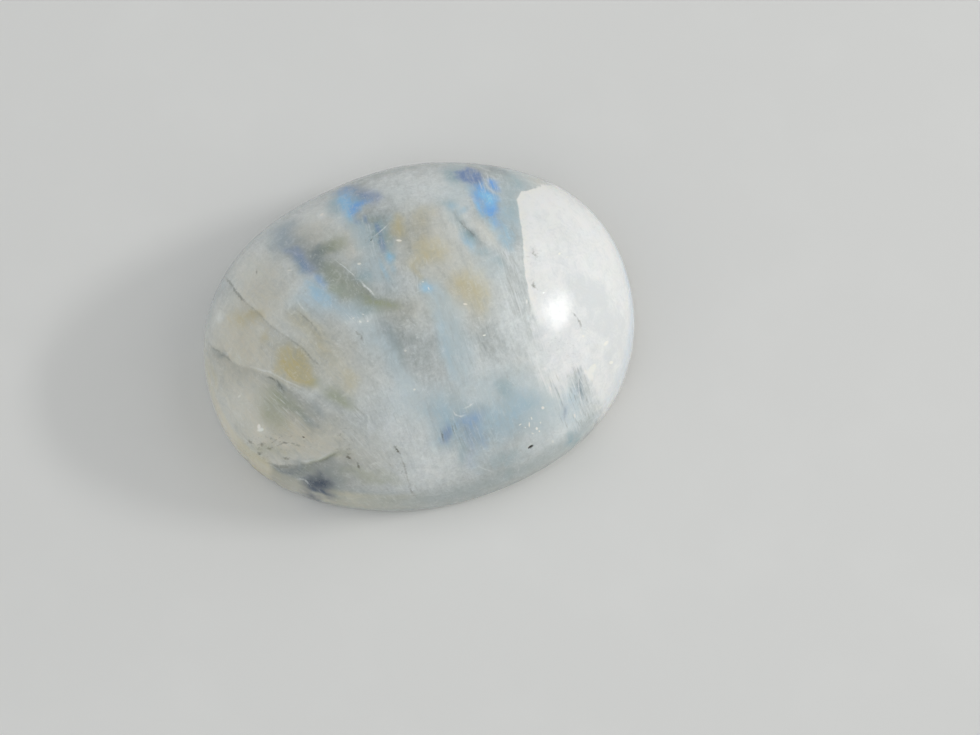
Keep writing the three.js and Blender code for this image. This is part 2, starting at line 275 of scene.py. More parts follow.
# Where the white patch is greyer
GREY = marks(Cloud,
    (9.4, -1.7, 0.9, 0.7, 0.6), (10, -3.2, 0.9, 0.6, 0.5, 30), (9.9, -1.9, 0.35, 0.5, 0.5),
    (8.4, -3.2, 0.3, 0.5, 0.4, 20), (8.9, -0.8, 0.6, 0.4, 0.3, 30), (7, 0.9, 0.3, 0.5, 0.4),
    (6.4, -0.9, 0.2, 0.3, 0.5, 20), (6.2, -3.5, 0.3, 0.3, 0.5), (7.2, -4.6, 0.8, 0.5, 0.4),
    (6.2, -5, 0.5, 0.6, 0.4), (9.7, -5.3, 0.25, 0.4, 0.5, 10), (10.6, -3.8, 1.2, 1.3, 0.3),
    (8.3, 4.5, 1.3, 1, -0.5), (10.5, 2.8, 0.7, 1, -0.3),
)
NAVY = marks(Cloud,
    (-7.9, -7.38, 0.78, 0.34, 1, -12, 0.8), (-7.4, -7.65, 0.35, 0.25, 0.4, -40),
    (-8.3, -7.05, 0.35, 0.18, 0.35, -10),
)
# Where fine white lines run along the layers
THREADED = marks(Area,
    ([(4.7, 1.9), (5.9, 1.5), (6.1, 0), (5.8, -3.2), (4.6, -3)], 0.6, 0.7),
    ([(5.4, -5.4), (7.9, -5.4), (8.1, -7.6), (6.2, -8.2), (5.8, -6.8)], 0.3, 1),
    ([(-5.4, -4.8), (-2.6, -4.8), (-2.2, -9.4), (-5.2, -8.8)], 0.9, 0.8),
) + marks(Cloud,
    (-3.4, -0.3, 1.4, 0.5, 0.6, -25), (-1.6, 4, 0.6, 1.2, 0.6), (5.8, 6.2, 0.9, 1, 0.8),
    (1, -7.6, 2, 1.2, 0.5), (3.4, 3.5, 0.4, 1.4, 0.5, 20), (-8.6, -3.2, 0.6, 2, 0.6, 30),
    (2.2, -3.5, 1.4, 2, 0.35),
)
# Where the surface is speckled with small open pores
PITTED = marks(Cloud,
    (-10, -4.75, 1.5, 0.5, 1, -24, 0.8), (-8.3, -5.4, 0.9, 0.35, 0.5, -20),
    (-1.55, 3.75, 0.45, 0.5, 0.9, 0, 0.8), (-5.9, -6.3, 0.6, 0.8, 0.7), (-3.1, -8, 0.3, 0.8, 0.6, 10),
    (6.9, 0.9, 0.5, 0.3, 0.5), (7.2, -4.2, 1.4, 1, 0.3),
)
GLITTER = marks(Cloud,
    (7.2, -2.3, 1.3, 1.2, 1, 60), (6.2, -2.4, 0.5, 0.6, 0.8), (8.5, -5.6, 0.5, 0.35, 1, 20, 0.7),
    (4.5, -7.8, 0.8, 0.35, 0.7, -20, 0.8), (8.6, -4.1, 0.3, 0.6, 0.6, 20, 0.8),
    (9.8, -4.6, 0.4, 0.4, 0.5, 0, 0.8), (-3.1, -0.6, 0.7, 0.3, 0.5, -10, 0.8),
)
# Clean edges of layers inside the stone. It is darker on the right of each line, in the line's direction.
STEPS = marks(Step,
    ([(-9.9, 5.35), (-9.7, 4.6), (-9.5, 4), (-9.25, 3.4), (-8.9, 2.6), (-8.55, 1.8), (-8.2, 1.1),
      (-7.7, 0.35), (-7.35, -0.15), (-6.95, -0.65), (-6.6, -1.25), (-6.2, -2.05)], 0.5, 0.2),
    ([(-11.75, 2.05), (-11.4, 1.3), (-10.85, 0.35), (-10.3, -0.4), (-9.5, -1.1), (-8.8, -1.75),
      (-8.2, -2.5), (-7.6, -3.3), (-7, -4)], 0.6, 0.3),
    ([(-10.3, -5.45), (-9.8, -5.78), (-9.3, -6.03), (-8.8, -6.25), (-8.2, -6.48), (-7.6, -6.58),
      (-6.9, -6.6), (-6.3, -6.55)], 0.7, 0.6),
    ([(-6.75, 1.6), (-6.3, 0.9), (-6, 0.3), (-5.7, -0.4), (-5.4, -1.2)], 0.4, 0.25),
    ([(-3.9, 3.5), (-3.45, 2.7), (-3.05, 1.9), (-2.65, 1.2), (-2.2, 0.5)], 0.6, 0.3),
    ([(3.85, 2.3), (3.65, 3), (3.4, 3.7), (3.1, 4.4)], 0.35, 0.2),
    ([(0.56, -1.4), (0.55, -3), (0.53, -4.9)], 0.5, 0.14),
    ([(4.95, -2.6), (4.9, -1.4), (5, 0), (4.95, 1.4)], 0.4, 0.2),
    ([(-0.95, -8.6), (-1, -7), (-0.98, -5.4)], 0.4, 0.15),
)
FAMILIES = {
    "milk": MILK, "warm": WARM, "cool": COOL, "sky": SKY_SHEEN, "teal": TEAL_SHEEN, "blue": BLUE_SHEEN, "glow": BLUE_SHEEN_GLOW,
    "violet": VIOLET_SHEEN, "ochre": OCHRE, "olive": OLIVE, "slate": SLATE, "navy": NAVY, "grey": GREY,
    "threaded": THREADED, "pitted": PITTED, "glitter": GLITTER,
}
# How sharp a step is, in millimetres
STEP_EDGE = 0.12
# Painted light and shade round the rim: a painted warm glow on one side, painted cool light and painted
# shade along the far side, and painted shade on the near wall. A rim's colour has a direction in degrees,
# the cosine from which it shows and how softly, and its least share elsewhere. It comes up from a share of
# the way out, over a width and by a power, and between two heights above the table.
Rim = namedtuple("Rim", "at edge soft least starts width power foot crown")
PAINTED_RIM_LIGHT_AND_SHADE = {
    "painted_glow_rim": Rim(211, 0.6, 0.35, 0, 0.962, 0.02, 1, 0.2, 1.4),
    "painted_cool_rim_light": Rim(50, -0.2, 1, 0.12, 0.955, 0.045, 1, 0.6, 3.2),
    "painted_shade_rim": Rim(80, -0.2, 1, 0, 0.86, 0.14, 2, 0.6, 3.2),
    "painted_near_wall_shade": Rim(280, 0.4, 0.5, 0, 0.95, 0.04, 1, -1, 0),
}

# The opaque white patch at the right end. Its left side is a sharp line, and its lower side frays.
WHITE_PATCH = [
    (8.4, 5.35), (7.4, 5.15), (6.95, 4.55), (6.8, 3.6), (6.66, 2.7), (6.5, 1.7), (6.3, 0.8), (6.12, -0.2),
    (6.0, -1.2), (5.95, -2.2), (5.75, -3.2), (5.45, -4.2), (5.5, -5.3), (5.95, -6.3), (6.7, -6.2),
    (7.2, -5.8), (7.9, -5.9), (8.2, -6.7), (8.6, -7.4), (10.5, -8.5), (14.0, -6.0), (14.0, 6.5), (9.6, 6.1),
]
WHITE_SHARP_EDGE = 0.05
WHITE_FRAYED_EDGE = 0.7
WHITE_FRAYS_BELOW = (-1.0, -5.0)
WHITE_FADES_FROM = 5.3
WHITE_FADES_OVER = 0.8
WHITE_FADES = 0.6

# Cracks that come up to the polished surface
CRACKS = marks(Thread,
    ([(-9.9, 5.35), (-9.7, 4.6), (-9.5, 4), (-9.25, 3.4), (-8.95, 2.7)], 0.06, 0.7),
    ([(-9.1, 3.05), (-8.9, 2.6), (-8.55, 1.8), (-8.2, 1.1), (-7.7, 0.35), (-7.35, -0.15)], 0.05, 0.25),
    ([(-7.5, 0.05), (-6.95, -0.65), (-6.6, -1.25), (-6.2, -2.05)], 0.045, 0.35),
    ([(-11.75, 2.05), (-11.55, 1.55), (-11.25, 1.12), (-11.05, 0.85)], 0.04, 0.45),
    ([(-11.2, 0.95), (-11, 0.6), (-10.85, 0.35), (-10.68, 0.02)], 0.05, 0.5),
    ([(-10.3, -5.45), (-9.8, -5.78), (-9.3, -6.03), (-8.8, -6.25)], 0.05, 0.6),
    ([(-9, -6.17), (-8.2, -6.48), (-7.6, -6.58), (-6.9, -6.6), (-6.3, -6.55)], 0.04, 0.3),
    ([(-6.45, 1.1), (-6.2, 0.6), (-5.95, 0.2), (-5.8, -0.3)], 0.04, 0.3),
    ([(-8.95, -1.72), (-8.75, -1.85), (-8.62, -2.05)], 0.05, 0.8),
    ([(-8.55, -2.05), (-8.42, -2.35), (-8.36, -2.6)], 0.07, 0.8),
)
# Fine white threads, and short dark ones
WHITE_THREADS = marks(Thread,
    ([(-3.75, 3.2), (-3.4, 2.65), (-3.1, 2.1), (-3, 1.8)], 0.03, 0.7),
    ([(-2.8, 1.6), (-2.65, 1.2), (-2.4, 0.9), (-2.2, 0.5)], 0.045, 0.75),
    ([(-1.35, 4.03), (-0.9, 4.25), (-0.45, 4.5)], 0.035, 0.8),
    ([(-9.7, -0.8), (-9.2, -1.2), (-8.75, -1.5), (-8.2, -2.1), (-7.6, -2.65), (-7.2, -3.1)], 0.05, 0.5),
    ([(5.3, -0.6), (5.28, -1.6), (5.33, -2.7)], 0.03, 0.6),
    ([(5.25, 1.6), (5.45, 0.8), (5.5, 0.1)], 0.025, 0.5),
    ([(5.05, 1.2), (4.95, 0.4), (5, -0.3)], 0.025, 0.4),
    ([(5.6, 0.9), (5.75, 0.1), (5.7, -0.9)], 0.025, 0.4),
    ([(6.28, -6.1), (6.32, -6.6), (6.42, -7)], 0.045, 0.8),
    ([(6.6, -5.8), (6.66, -6.4), (6.7, -6.95)], 0.05, 0.8),
    ([(7.58, -5.85), (7.52, -6.5), (7.5, -7.2)], 0.035, 0.9),
    ([(0.28, -6.4), (0.4, -6.62), (0.65, -6.74), (0.95, -6.72)], 0.04, 0.7),
    ([(1, -6.4), (1.25, -6.34), (1.48, -6.26)], 0.035, 0.9),
    ([(5.4, 6.3), (5.55, 5.9), (5.75, 5.4), (5.85, 5.15)], 0.07, 0.45),
    ([(5.9, 6.75), (6.1, 6.45), (6.15, 6.1)], 0.08, 0.4),
    ([(5.5, 7.9), (5.75, 7.4), (6.1, 7.05)], 0.07, 0.35),
    ([(-8.85, -6.8), (-8.5, -6.95), (-8.3, -7.2)], 0.035, 0.7),
    ([(-8.5, -6.2), (-8, -6.38), (-7.5, -6.48), (-6.8, -6.42)], 0.05, 0.4),
    ([(-6.3, 1.55), (-6.2, 1.2), (-6.05, 0.95)], 0.035, 0.6),
    ([(1.05, -9), (1.3, -9.2), (1.65, -9.4)], 0.035, 0.5),
    ([(0.3, 1), (0.2, 0.6), (0.17, 0.2)], 0.03, 0.5),
    ([(8.5, -3.1), (8.6, -3.5), (8.45, -3.9)], 0.03, 0.4),
    ([(8.7, -4.05), (8.8, -4.4), (8.95, -4.5)], 0.04, 0.9),
)
DARK_THREADS = marks(Thread,
    ([(-3.15, -7.2), (-3.08, -7.4), (-2.98, -7.6)], 0.05, 0.9),
    ([(-3, -9.05), (-2.93, -9.2), (-2.82, -9.32)], 0.06, 0.5),
    ([(-2.98, -7.7), (-2.95, -8.3), (-2.93, -8.95)], 0.05, 0.3),
    ([(-5.88, -6.85), (-5.72, -7.02)], 0.06, 0.8), ([(-5.42, -7.3), (-5.36, -7.65)], 0.05, 0.6),
    ([(-3.66, -1.1), (-3.62, -1.3)], 0.05, 0.5), ([(-3.48, -1.4), (-3.44, -1.65)], 0.05, 0.5),
    ([(-0.6, -7.2), (-0.55, -7.5)], 0.045, 0.6), ([(0.05, -6.95), (0.06, -7.35)], 0.035, 0.5),
    ([(0.22, -7), (0.25, -7.3)], 0.03, 0.4), ([(-10.98, -4), (-10.8, -4.2)], 0.06, 0.6),
    ([(-10.35, -4.55), (-10.15, -4.65)], 0.06, 0.7), ([(-10.72, -4.8), (-10.5, -4.9)], 0.06, 0.6),
    ([(-10, -4.98), (-9.8, -5.06)], 0.05, 0.6), ([(-9.28, -5.1), (-9, -5.12), (-8.75, -5.24)], 0.04, 0.7),
    ([(-9.3, -5.75), (-9, -5.9)], 0.04, 0.5), ([(-8.4, -5.5), (-8.2, -5.58)], 0.04, 0.4),
    ([(6.38, -0.75), (6.42, -1)], 0.05, 0.4), ([(7, 1), (6.98, 0.75)], 0.05, 0.3),
    ([(-8.12, 4.6), (-8.15, 4.35)], 0.03, 0.4), ([(-6.2, -1.9), (-6.1, -2.1)], 0.04, 0.5),
    ([(3.38, 3.72), (3.55, 3.35), (3.75, 2.95), (3.98, 2.45)], 0.04, 0.3),
    ([(6.95, 1.15), (6.9, 0.95), (7.05, 0.8)], 0.05, 0.5),
    ([(6.43, -0.75), (6.36, -0.95), (6.45, -1.1)], 0.06, 0.6),
    ([(8.38, -3), (8.5, -3.25), (8.45, -3.45)], 0.06, 0.5), ([(8.2, -2.7), (8.3, -2.85)], 0.05, 0.5),
)
# Open pits in the surface, with their depths. The deeper ones are darkened with depth, as painted shade.
PITS = marks(Pit,
    (4.12, -8.68, 0.19, 0.055, 17, 0.09), (-7.93, -5.28, 0.07, 0.07, 0, 0.06),
    (-1.57, 3.86, 0.07, 0.07, 0, 0.06), (-10.9, -4.1, 0.16, 0.08, -48, 0.014),
    (-10.25, -4.6, 0.16, 0.08, -25, 0.014), (-10.62, -4.85, 0.16, 0.08, -25, 0.014),
    (-5.8, -6.93, 0.14, 0.08, -45, 0.016), (-3.07, -7.4, 0.25, 0.08, -68, 0.016),
)
# Small bright flecks: mostly painted glints, with a few bright specks of dust and scratches
GLINTS_AND_SPECKS = marks(Fleck,
    (-10.08, -3.97, 0.2, 0.08, -20, 1), (-10.12, -3.8, 0.1, 0.14, -5, 1),
    (8.5, -5.6, 0.34, 0.16, 40, 0.9), (8.35, -5.85, 0.2, 0.24, 10, 0.9),
    (8.7, -5.45, 0.1, 0.16, -30, 0.8), (8.15, -5.7, 0.08, 0.14, 20, 0.7), (8.38, 0.78, 0.09, 0.06, 30, 1),
    (8.75, 0.55, 0.08, 0.04, 30, 0.5), (3.02, -3.07, 0.09, 0.04, 0, 1),
    (2.45, -1.22, 0.12, 0.05, -20, 0.8), (9.72, -4.28, 0.2, 0.08, 35, 1),
    (9.8, -5.2, 0.14, 0.07, 20, 0.9), (8.45, -3.9, 0.06, 0.05, 0, 0.9), (5.25, -7.12, 0.09, 0.07, 0, 0.9),
    (4.3, -7.75, 0.12, 0.04, 75, 0.9), (4.68, -7.97, 0.07, 0.06, 0, 1), (4.8, -8.1, 0.05, 0.04, 0, 0.8),
    (3.8, -7.68, 0.09, 0.03, 15, 0.7), (4.05, -7.85, 0.05, 0.03, -30, 0.7),
    (4.5, -7.5, 0.04, 0.07, 10, 0.8), (4.95, -7.75, 0.05, 0.04, 0, 0.6),
    (4.4, -8.15, 0.08, 0.03, -20, 0.6), (7, -7.6, 0.05, 0.08, 10, 0.7), (5.9, -6.3, 0.04, 0.1, 5, 0.7),
    (0.55, 0.55, 0.05, 0.03, 0, 0.8), (0.75, 0.1, 0.04, 0.1, 10, 0.7), (-3.6, -0.35, 0.07, 0.03, 20, 0.6),
    (-2.9, -0.75, 0.05, 0.04, 0, 0.7), (-3.05, -0.3, 0.08, 0.03, -40, 0.6),
    (-2.52, 2.6, 0.11, 0.07, -10, 0.7), (-3.75, 6.65, 0.14, 0.09, 40, 0.5),
    (-0.08, 3.33, 0.16, 0.07, -25, 0.8), (-3.3, -0.65, 0.09, 0.06, -50, 0.7),
    (-6.25, 3.65, 0.14, 0.04, -20, 0.5), (-1.4, -4.88, 0.07, 0.05, 0, 0.7),
    (-1.35, -2.85, 0.08, 0.05, 0, 0.4), (-10.75, -1.85, 0.1, 0.06, 0, 0.5),
    (5.8, -1.72, 0.14, 0.04, 75, 0.8), (5.48, -8.55, 0.06, 0.05, 0, 0.5),
)
# Nicks in the girdle: angle from +X in degrees, half width and depth in millimetres
GIRDLE_NICKS = [(201, 0.3, 0.05), (210, 0.22, 0.06), (218, 0.3, 0.07), (68, 0.3, 0.04), (318, 0.25, 0.04)]

# Hand polishing leaves the dome very slightly wavy: wavelength and height of two waves
POLISH_WAVES = [(5.0, 0.02), (1.6, 0.004)]

# The marks' outlines are pushed about by two noises: wavelength and push of each. Lines take a share of it.
# Blender's noise vectors differ from run to run unless their seed is set, and 0 means the time of day.
WARPS = [(1.6, 0.38), (0.5, 0.13)]
WARP_OF_LINES = 0.25
WARP_SEED = 1099

PIT_STEEPNESS = 1.5
# Depth at which the painted shade in a pit is full
PIT_SHADE_FULL_DEPTH = 0.03
NICKS_FADE_OVER = 1.2
CRACK_GROOVE_DEPTH = 0.012
CRACK_GROOVE_WIDTH = 0.12


def smooth(share):
    """A share from 0 to 1 eased at both ends, for arrays."""
    share = np.clip(share, 0, 1)
    return share * share * (3 - 2 * share)


# The stone's form


def girdle_radius(angle):
    """Distance from the axis to the girdle, in the direction of an angle from +X."""
    along = np.abs(np.cos(angle) / HALF_LENGTH) ** OUTLINE_POWER
    across = np.abs(np.sin(angle) / HALF_WIDTH) ** OUTLINE_POWER
    radius = (along + across) ** (-1 / OUTLINE_POWER)
    for crests, height, crest_at in LOBES:
        radius = radius + height * np.cos(crests * (angle - crest_at))
    return radius


def middle_shift():
    """How far the lobes move the middle of the outline's box off the axis."""
    angle = np.linspace(0, 2 * pi, 721)
    x = girdle_radius(angle) * np.cos(angle)
    y = girdle_radius(angle) * np.sin(angle)
    return np.array([(x.min() + x.max()) / 2, (y.min() + y.max()) / 2])


def dome_height(reach):
    """Height of the dome at a share of the way from the axis to the girdle."""
    fall = np.clip(1 - reach ** DOME_REACH_POWER, 0, 1)
    return GIRDLE_TOP + (HEIGHT - GIRDLE_TOP) * fall ** (1 / DOME_HEIGHT_POWER)


def edge_section():
    """The girdle, bevel and foot as (share of the way to the girdle, height), from the top down."""
    foot = 1 - BEVEL_WIDTH / HALF_WIDTH
    corners = [
        ((1, GIRDLE_TOP), (1, BEVEL_HEIGHT), (foot, 0), GIRDLE_ROUNDING),
        ((1, BEVEL_HEIGHT), (foot, 0), (0, 0), FOOT_ROUNDING),
    ]
    section = []
    for before, corner, after, rounding in corners:
        start = towards(corner, before, rounding)
        end = towards(corner, after, rounding)
        for step in range(CORNER_RINGS + 1):
            t = step / CORNER_RINGS
            blend = ((1 - t) ** 2, 2 * t * (1 - t), t * t)
            bend = list(zip(blend, (start, corner, end)))
            section.append(tuple(sum(b * p[i] for b, p in bend) for i in (0, 1)))
    return section


def towards(corner, other, distance):
    """The point this far in millimetres from one point of the section to another."""
    run = (other[0] - corner[0]) * HALF_WIDTH
    rise = other[1] - corner[1]
    share = distance / hypot(run, rise)
    return (corner[0] + share * (other[0] - corner[0]), corner[1] + share * rise)


def disc_grid(cells):
    """Even points on a disc of radius 1, as a square grid bent round: reach and angle of each."""
    side = np.linspace(-1, 1, cells + 1)
    a, b = np.meshgrid(side, side)
    wide = np.abs(a) > np.abs(b)
    big = np.where(wide, a, b)
    small = np.where(wide, b, a)
    turn = pi / 4 * np.divide(small, big, out=np.zeros_like(big), where=big != 0)
    angle = np.where(wide, turn, pi / 2 - turn) + np.where(big < 0, pi, 0)
    return np.abs(big).ravel(), angle.ravel()


def rim_order(cells):
    """Indices of the grid's outer points, once round."""
    n = cells + 1
    bottom = list(range(n))
    right = [n - 1 + n * j for j in range(1, n)]
    top = [n * (n - 1) + i for i in range(n - 2, -1, -1)]
    left = [n * j for j in range(n - 2, 0, -1)]
    return bottom + right + top + left


def stone_points_and_faces():
    """The whole stone before its fine relief: places in millimetres, and faces."""
    even_reach, angle = disc_grid(DOME_CELLS)
    reach = np.sin(even_reach * pi / 2)
    radius = girdle_radius(angle)
    dome = np.stack([reach * radius * np.cos(angle), reach * radius * np.sin(angle), dome_height(reach)], 1)
    n = DOME_CELLS + 1
    faces = [
        (j * n + i, j * n + i + 1, (j + 1) * n + i + 1, (j + 1) * n + i)
        for j in range(DOME_CELLS)
        for i in range(DOME_CELLS)
    ]
    ring = rim_order(DOME_CELLS)
    rim = dome[ring]
    places = [dome]
    start = len(dome)
    for share, height in edge_section():
        places.append(np.column_stack([rim[:, 0] * share, rim[:, 1] * share, np.full(len(rim), height)]))
        lower = list(range(start, start + len(ring)))
        for k in range(len(ring)):
            after = (k + 1) % len(ring)
            faces.append((ring[k], lower[k], lower[after], ring[after]))
        ring = lower
        start += len(lower)
    places.append(np.zeros((1, 3)))
    faces += [(ring[k], start, ring[(k + 1) % len(ring)]) for k in range(len(ring))]
    return np.concatenate(places), faces


# Fine relief


def polish_waves(places):
    """Height of the polish waves at each place."""
    height = np.zeros(len(places))
    for wavelength, rise in POLISH_WAVES:
        height += rise * np.array([noise.noise(Vector(place / wavelength)) for place in places])
    return height


def pit_depth(places):
    """How deep the open pits cut in at each place."""
    depth = np.zeros(len(places))
    for pit in PITS:
        reach = oval_reach(places, pit)
        depth = np.maximum(depth, pit.depth * np.exp(-reach ** 2 * PIT_STEEPNESS))
    return depth


def oval_reach(places, mark):
    """Distance from a mark's middle in the plan, as a share of its half sizes."""
    turn = radians(mark.turn)
    x = places[:, 0] - mark.x
    y = places[:, 1] - mark.y
    along = x * cos(turn) + y * sin(turn)
    across = y * cos(turn) - x * sin(turn)
    return np.hypot(along / mark.long, across / mark.wide)


def nick_depth(places):
    """How deep the girdle's nicks cut in at each place."""
    depth = np.zeros(len(places))
    fade = smooth((GIRDLE_TOP + NICKS_FADE_OVER - places[:, 2]) / NICKS_FADE_OVER)
    for degrees, half_width, cut in GIRDLE_NICKS:
        angle = radians(degrees)
        radius = girdle_radius(angle)
        away = np.hypot(places[:, 0] - radius * cos(angle), places[:, 1] - radius * sin(angle))
        depth = np.maximum(depth, cut * fade * np.exp(-((away / half_width) ** 2)))
    return depth


def crack_groove(near):
    """Depth of the shallow groove along the cracks."""
    return CRACK_GROOVE_DEPTH * np.exp(-((near / CRACK_GROOVE_WIDTH) ** 2))


# Fields: what is at each point of the surface, for the material to read


def warped(places):
    """The places pushed about a little, so that the marks' outlines come out uneven."""
    noise.seed_set(WARP_SEED)
    pushed = places
    for wavelength, push in WARPS:
        vectors = np.array([noise.noise_vector(Vector(place / wavelength)) for place in places])
        pushed = pushed + push * vectors
    return pushed


def beside_line(places, points):
    """Distance from each place to a line in the plan, the same signed by side, and how far along it lies."""
    nearest = np.full(len(places), np.inf)
    signed = np.full(len(places), np.inf)
    along = np.zeros(len(places))
    plan = places[:, :2]
    pieces = len(points) - 1
    for number, (start, end) in enumerate(zip(points, points[1:])):
        start, run = np.array(start), np.array(end) - np.array(start)
        offset = plan - start
        share = np.clip(offset @ run / (run @ run), 0, 1)
        away = np.linalg.norm(offset - share[:, None] * run, axis=1)
        side = np.sign(run[0] * offset[:, 1] - run[1] * offset[:, 0])
        closer = away < nearest
        nearest = np.where(closer, away, nearest)
        signed = np.where(closer, side * away, signed)
        along = np.where(closer, (number + share) / pieces, along)
    return nearest, signed, along


def inside_outline(places, outline):
    """Distance to a closed outline in the plan, positive inside it."""
    closed = outline + outline[:1]
    away = beside_line(places, closed)[0]
    inside = np.zeros(len(places), bool)
    x, y = places[:, 0], places[:, 1]
    for (x0, y0), (x1, y1) in zip(closed, closed[1:]):
        if y0 == y1:
            continue
        crosses = (y0 > y) != (y1 > y)
        inside ^= crosses & (x < x0 + (y - y0) * (x1 - x0) / (y1 - y0))
    return np.where(inside, away, -away)


def mark_share(places, mark):
    """How much of one oval or outlined mark is at each place, from 0 to its strength."""
    if isinstance(mark, Area):
        inside = inside_outline(places, mark.outline) / mark.soft
    else:
        inside = (1 - oval_reach(places, mark)) / mark.soft
    return mark.strength * smooth((1 + inside) / 2)


def laid_over(places, family):
    """How much of any of a family's marks is at each place, from 0 to 1."""
    clear = np.ones(len(places))
    for mark in family:
        clear *= 1 - mark_share(places, mark)
    return 1 - clear


def step_shade(places, steps):
    """The shade on the dark side of the steps."""
    shade = np.zeros(len(places))
    for step in steps:
        away, side, along = beside_line(places, step.points)
        ends = smooth(8 * along * (1 - along))
        dark_side = smooth(0.5 - side / STEP_EDGE)
        shade = np.maximum(shade, step.strength * ends * dark_side * np.exp(-away / step.fade))
    return shade


def thread_fields(places, threads):
    """For the nearest of these threads: distance, signed distance in widths, and strength."""
    nearest = np.full(len(places), np.inf)
    signed = np.zeros(len(places))
    strength = np.zeros(len(places))
    for thread in threads:
        away, side, along = beside_line(places, thread.points)
        closer = away < nearest
        nearest = np.where(closer, away, nearest)
        signed = np.where(closer, side / thread.width, signed)
        tapered = 0.35 + 0.65 * smooth(5 * along * (1 - along))
        strength = np.where(closer, thread.strength * tapered, strength)
    return {"near": nearest, "side": signed, "strength": strength}


def painted_rim_share(places, reach, angle, rim):
    """How much of a rim's painted light and shade is at each place."""
    side = smooth((np.cos(angle - radians(rim.at)) - rim.edge) / rim.soft)
    out = smooth((reach - rim.starts) / rim.width) ** rim.power
    high = smooth((places[:, 2] - rim.foot) / (rim.crown - rim.foot))
    return high * (rim.least + (1 - rim.least) * side) * out


def white_edge_width(y):
    """How wide the edge of the white patch is: it frays at the near end and fades at the far one."""
    above, below = WHITE_FRAYS_BELOW
    frayed = smooth((above - y) / (above - below))
    fades = WHITE_FADES * smooth((y - WHITE_FADES_FROM) / WHITE_FADES_OVER)
    return WHITE_SHARP_EDGE + (WHITE_FRAYED_EDGE - WHITE_SHARP_EDGE) * np.maximum(frayed, fades)


def surface_fields(places):
    """Every field that the material reads, by name."""
    pushed = warped(places)
    gentle = places + WARP_OF_LINES * (pushed - places)
    angle = np.arctan2(places[:, 1], places[:, 0])
    reach = np.hypot(places[:, 0], places[:, 1]) / girdle_radius(angle)
    below_dome = dome_height(np.minimum(reach, 1)) - places[:, 2]
    top = 1 - smooth(below_dome / CLOUD_DEPTH)
    fields = {name: top * laid_over(pushed, family) for name, family in FAMILIES.items()}
    fields["top"] = top
    fields["tone"] = top * sum(mark_share(pushed, mark) for mark in TONE)
    fields["step"] = top * step_shade(gentle, STEPS)
    fields["white"] = inside_outline(gentle, WHITE_PATCH)
    fields["white_edge"] = white_edge_width(places[:, 1])
    fields["pit"] = np.clip(pit_depth(places) / PIT_SHADE_FULL_DEPTH, 0, 1)
    for family, threads in (("crack", CRACKS), ("thread", WHITE_THREADS), ("tick", DARK_THREADS)):
        for part, values in thread_fields(gentle, threads).items():
            fields[f"{family}_{part}"] = values
    # Painted rim light and shade
    for name, rim in PAINTED_RIM_LIGHT_AND_SHADE.items():
        fields[name] = painted_rim_share(places, reach, angle, rim)
    return fields


def build_stone():
    """The fine stone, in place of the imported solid, with its fields."""
    places, faces = stone_points_and_faces()
    fields = surface_fields(places)
    mesh = bpy.data.meshes.new("polished_stone")
    mesh.from_pydata(places, [], faces)
    normals = np.array([vertex.normal for vertex in mesh.vertices])
    on_top = smooth((places[:, 2] - BEVEL_HEIGHT) / (GIRDLE_TOP - BEVEL_HEIGHT))
    relief = on_top * (polish_waves(places) - pit_depth(places) - crack_groove(fields["crack_near"]))
    relief -= nick_depth(places) * (places[:, 2] > 0.01)
    places = places + normals * relief[:, None]
    places[:, :2] -= middle_shift()
    mesh.vertices.foreach_set("co", (places * MM).ravel())
    for name, values in fields.items():
        attribute = mesh.attributes.new(name, "FLOAT", "POINT")
        attribute.data.foreach_set("value", values.astype(np.float32))
    mesh.shade_smooth()
    mesh.update()
    stone = bpy.data.objects.new("polished_stone", mesh)
    bpy.context.scene.collection.objects.link(stone)
    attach(stone, "root")
    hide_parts("moonstone")
    return stone


# Materials


def colour(red, green, blue):
    """A colour given as it looks on a screen, 0 to 255, in the linear light that shaders use."""
    def linear(value):
        value /= 255
        return value / 12.92 if value <= 0.04045 else ((value + 0.055) / 1.055) ** 2.4

    return (linear(red), linear(green), linear(blue), 1.0)


